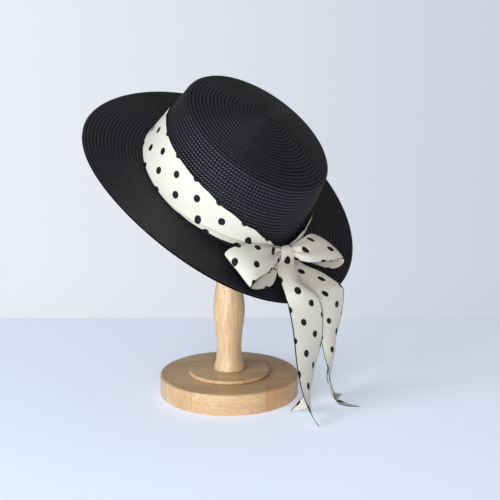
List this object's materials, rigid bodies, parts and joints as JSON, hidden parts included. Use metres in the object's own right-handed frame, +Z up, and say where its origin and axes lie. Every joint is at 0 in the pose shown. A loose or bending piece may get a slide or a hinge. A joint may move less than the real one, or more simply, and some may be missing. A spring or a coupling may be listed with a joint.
{
  "type": "straw boater hat on a wooden hat stand",
  "caption": "Wide-brimmed straw boater with a dotted ribbon band, a bow and long ribbon tails, hung at a tilt on a turned wooden stand.",
  "frame": {"origin": "centre of the underside of the stand's round base, which stands on the table", "axes": "+Z up the stand's turned post; -Y is the front, where the bow and its tails show; +X is to the right of a viewer who faces that front. The hat's crown leans 39 degrees from the vertical, forwards and to the right."},
  "size_m": [0.2885, 0.2877, 0.3402],
  "materials": {
    "straw": "sewn paper straw braid, dyed black, slight sheen",
    "ribbon": "off-white woven ribbon with dark navy dots, matte",
    "wood": "pale turned beech, satin lacquer"
  },
  "bodies": {
    "root": {"stand_base": "wood", "stand_step": "wood", "stand_post": "wood", "stand_head": "wood", "crown": "straw", "brim": "straw", "hat_band": "ribbon", "bow_knot": "ribbon", "bow_loop_left": "ribbon", "bow_loop_right": "ribbon", "tail_front": "ribbon", "tail_back": "ribbon"}
  },
  "joints": []
}
